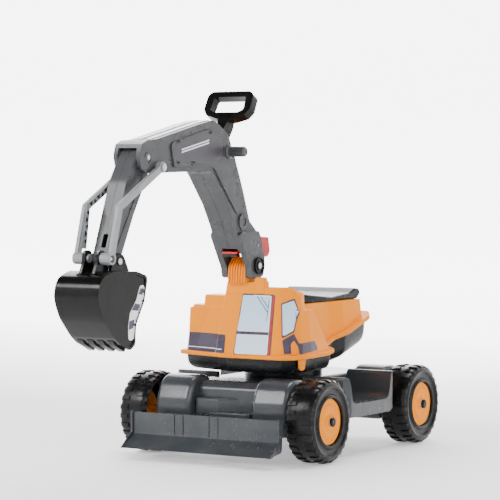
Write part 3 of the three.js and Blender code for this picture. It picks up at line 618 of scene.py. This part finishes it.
# dark pockets between the truss ribs on the inner faces of the links
def linkPockets():
    knee, ends, pitch = (-650, 501), ((-514, 572), (-664, 412)), 13
    for side, word in ((1, "left"), (-1, "right")):
        for part, end in enumerate(ends):
            length = math.dist(knee, end)
            along = ((end[0] - knee[0]) / length, (end[1] - knee[1]) / length)

            def spot(a, b):
                return knee[0] + along[0] * a - along[1] * b, knee[1] + along[1] * a + along[0] * b

            web = [spot(-3, -5.4), spot(length - 14, -5.4), spot(length - 14, 5.4), spot(-3, 5.4)]
            x0, x1 = (30.6, 33.8) if side > 0 else (-33.8, -30.6)
            sideBlock(f"{word}_link_web_{part + 1}", web, x0, x1, f"{word}_link", "light_grey_plastic", edge=0.6)
            for i in range(int(length // pitch) - 1):
                start = 5 + i * pitch
                tip = 4.2 if i % 2 else -4.2
                shape = [spot(start, -tip), spot(start + 11, -tip), spot(start + 5.5, tip)]
                pocket = bmesh.new()
                outline(pocket, "side", shape, 30.7 * side)
                stretch(pocket, (-0.0006 * side, 0, 0))
                newPiece(f"{word}_link_pocket_{part * 20 + i + 1}", formMesh(pocket, f"{word}Pocket"), f"{word}_link",
                         "light_grey_plastic", prints["slot"])


boomTrim()
bucketTrim()
linkPockets()
print("boom, bucket and link trim laid")

# tyres: one turned skin with staggered lugs round its shoulders
tyre = {
    "halfTrack": 191.3, "halfBase": 197, "radius": 82, "turns": 108,
    "lug": 2.8, "lugStart": 73.4, "grooveHalf": 8.5,
    "profile": [(25, 46.5), (29, 46), (30.6, 48.5), (29.6, 51.5), (26.6, 54), (26, 60), (27.4, 64), (30, 65.5),
                (31, 68), (30.6, 71), (28.6, 74.8), (25, 77.6), (19, 78.9), (8, 79.2), (0, 79.2), (-8, 79.2),
                (-19, 78.9), (-25, 77.6), (-28.6, 74.8), (-31, 70.5), (-30, 68.6), (-27, 69.5), (-18, 75.5),
                (0, 76.2), (16, 75.5), (21, 70), (21, 58), (22, 49)],
}


def turn(form, points, steps):
    corners = [form.verts.new((x * mm, 0, r * mm)) for x, r in points]
    line = [form.edges.new(pair) for pair in zip(corners, corners[1:] + corners[:1])]
    bmesh.ops.spin(form, geom=corners + line, cent=(0, 0, 0), axis=(1, 0, 0), angle=math.tau, steps=steps,
                   use_merge=True, use_duplicate=False)
    bmesh.ops.remove_doubles(form, verts=form.verts, dist=0.00001)
    bmesh.ops.recalc_face_normals(form, faces=form.faces)


def wheelPlace(end, side):
    x = tyre["halfTrack"] * (1 if side == "left" else -1) * mm
    y, z = place(tyre["halfBase"] * (-1 if end == "front" else 1), tyre["radius"])
    flip = Matrix.Rotation(0 if side == "left" else math.pi, 4, "Z")
    return Matrix.Translation((x, y, z)) @ flip


def wheelPiece(form, end, side, part, look, slot, angle):
    bmesh.ops.transform(form, matrix=wheelPlace(end, side), verts=form.verts)
    mesh = bpy.data.meshes.new(part + "Mesh")
    form.to_mesh(mesh)
    form.free()
    smoothFaces(mesh, angle)
    return newPiece(f"{end}_{side}_{part}_{look}", mesh, f"{end}_{side}_wheel", slot, stands=[f"{end}_{side}_{part}"])


def lugTyre(end, side):
    form = bmesh.new()
    turn(form, tyre["profile"], tyre["turns"])
    pick = []
    for face in form.faces:
        centre = face.calc_center_median()
        across = math.hypot(centre.y, centre.z) * 1000
        inward = face.normal.dot((0, centre.y, centre.z)) <= 0
        if across < tyre["lugStart"] or abs(centre.x) * 1000 < tyre["grooveHalf"] or inward:
            continue
        index = int((math.atan2(centre.z, centre.y) / math.tau + 0.5) * tyre["turns"]) % 4
        if index in ((0, 1) if centre.x > 0 else (2, 3)):
            pick.append(face)
    raised = bmesh.ops.extrude_face_region(form, geom=pick)
    for corner in movable(raised):
        away = Vector((0, corner.co.y, corner.co.z))
        corner.co += away.normalized() * tyre["lug"] * mm
    bmesh.ops.delete(form, geom=pick, context="FACES")
    softEdges(wheelPiece(form, end, side, "tyre", "treaded", "tyre_black", 34), 0.5, 2, 40)


hub = {
    "turns": 72,
    "profile": [(29, 5.4), (29.2, 11), (28.4, 13), (26.6, 14), (26.2, 20), (27.4, 24), (27.6, 31), (26.4, 34),
                (25.6, 35), (25.8, 41), (25.2, 44.4), (23.4, 45.6), (20.6, 45.6), (19.4, 43), (22, 37), (23.2, 33),
                (23.6, 22), (22, 16), (10, 12.5), (-28.6, 11), (-29, 10), (-29, 5.4)],
}


def wheelHub(end, side):
    form = bmesh.new()
    turn(form, hub["profile"], hub["turns"])
    wheelPiece(form, end, side, "hub", "disc", "yellow_plastic", 40)


for end in ("front", "rear"):
    for side in ("left", "right"):
        lugTyre(end, side)
        wheelHub(end, side)
print("wheels made")


# a round floor that curves up all about, and glows on the side behind the piece
def studio():
    form = bmesh.new()
    corners = [form.verts.new(co) for co in
               ((0, 0, 0), (0, 7, 0), (0, 8.2, 0.3), (0, 9.0, 1.0), (0, 9.4, 2.2), (0, 9.5, 3.6), (0, 9.5, 9))]
    line = [form.edges.new(pair) for pair in zip(corners, corners[1:])]
    bmesh.ops.spin(form, geom=corners + line, axis=(0, 0, 1), cent=(0, 0, 0), steps=64, angle=math.tau,
                   use_merge=True)
    bmesh.ops.remove_doubles(form, verts=form.verts, dist=0.0001)
    bmesh.ops.recalc_face_normals(form, faces=form.faces)
    mesh = bpy.data.meshes.new("sweepMesh")
    form.to_mesh(mesh)
    form.free()
    smoothFaces(mesh, 60)
    sweep = bpy.data.objects.new("studioSweep", mesh)
    bpy.context.scene.collection.objects.link(sweep)
    g = Graph("paleSweep")
    pale = g.mix(g.noise(g.place(), 3, 3), (0.84, 0.84, 0.84, 1), (0.87, 0.87, 0.87, 1))
    g.plug(g.shader.inputs["Base Color"], pale)
    g.shader.inputs["Roughness"].default_value = 0.7
    glow = g.ramp(g.along("Y"), 0.7, 3.2) * g.ramp(g.along("X"), 0.6, -0.4)
    g.plug(g.shader.inputs["Emission Color"], g.mix(glow, (0.08, 0.08, 0.08, 1), (1, 1, 1, 1)))
    g.shader.inputs["Emission Strength"].default_value = 4.5
    mesh.materials.append(g.material)


def softLight(name, spot, aim, size, power):
    lamp = bpy.data.lights.new(name, "AREA")
    lamp.shape, lamp.size, lamp.size_y = "RECTANGLE", size[0], size[1]
    lamp.energy = power
    light = bpy.data.objects.new(name, lamp)
    light.location = spot
    light.rotation_euler = (Vector(aim) - Vector(spot)).to_track_quat("-Z", "Y").to_euler()
    bpy.context.scene.collection.objects.link(light)


studio()
softLight("keyLight", (-1.8, -3.2, 3.0), (0, 0, 0.3), (1.8, 1.4), 135)
softLight("fillLight", (3.4, -1.6, 1.8), (0, 0, 0.3), (1.0, 1.8), 30)
softLight("topLight", (0.2, 1.0, 3.6), (0, 0.2, 0.2), (2.0, 2.0), 110)
sky = bpy.data.worlds.new("studioAir")
sky.use_nodes = True
sky.node_tree.nodes["Background"].inputs[0].default_value = (1, 1, 1, 1)
sky.node_tree.nodes["Background"].inputs[1].default_value = 0.06
bpy.context.scene.world = sky

eye = bpy.data.cameras.new("viewCamera")
eye.lens, eye.sensor_width, eye.clip_end = 156.69, 36, 60
viewer = bpy.data.objects.new("viewCamera", eye)
viewer.location = (2.24303, -3.64257, 0.55447)
viewAim = Vector((-0.06622, 0.20371, 0.40455))
viewer.rotation_euler = (viewAim - viewer.location).to_track_quat("-Z", "Y").to_euler()
bpy.context.scene.collection.objects.link(viewer)
bpy.context.scene.camera = viewer
print("studio set")
